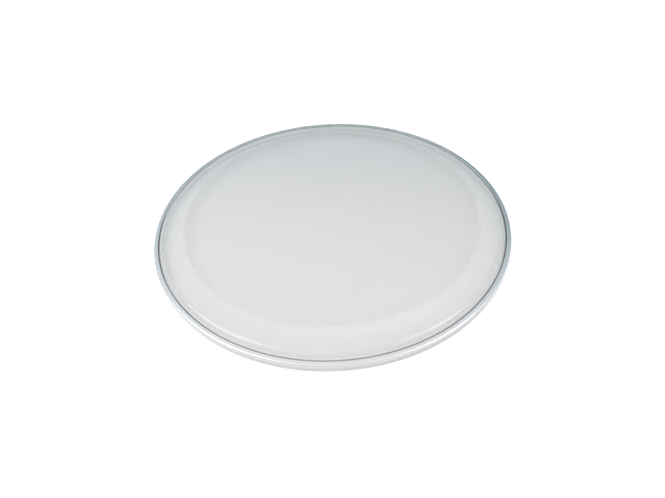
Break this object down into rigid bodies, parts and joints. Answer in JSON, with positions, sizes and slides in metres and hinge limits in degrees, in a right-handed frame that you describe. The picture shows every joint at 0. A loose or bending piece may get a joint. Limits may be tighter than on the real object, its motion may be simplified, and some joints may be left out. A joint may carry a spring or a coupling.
{
  "type": "drum head",
  "caption": "Clear drum head: a thin round film with a low collar and a damping ring under its edge, hemmed and bedded in a roll-formed aluminium hoop that drops over a drum shell.",
  "frame": {"origin": "centre of the hoop's underside, on the drum's axis", "axes": "+Z along the drum's axis towards the playing side, X and Y in the plane of the hoop's underside"},
  "size_m": [0.3689, 0.369, 0.0118],
  "materials": {
    "hoop_aluminium": "bright rolled sheet with fine lines along the hoop",
    "clear_film": "clear glossy polyester film with a faint haze",
    "ring_film": "clear polyester film, a little hazier than the head",
    "lock_steel": "rolled steel strip",
    "bedding_resin": "cured casting resin"
  },
  "bodies": {
    "root": {"hoop_channel": "hoop_aluminium", "head_film": "clear_film", "damping_ring": "ring_film", "lock_ring": "lock_steel", "resin_bead": "bedding_resin"}
  },
  "joints": []
}
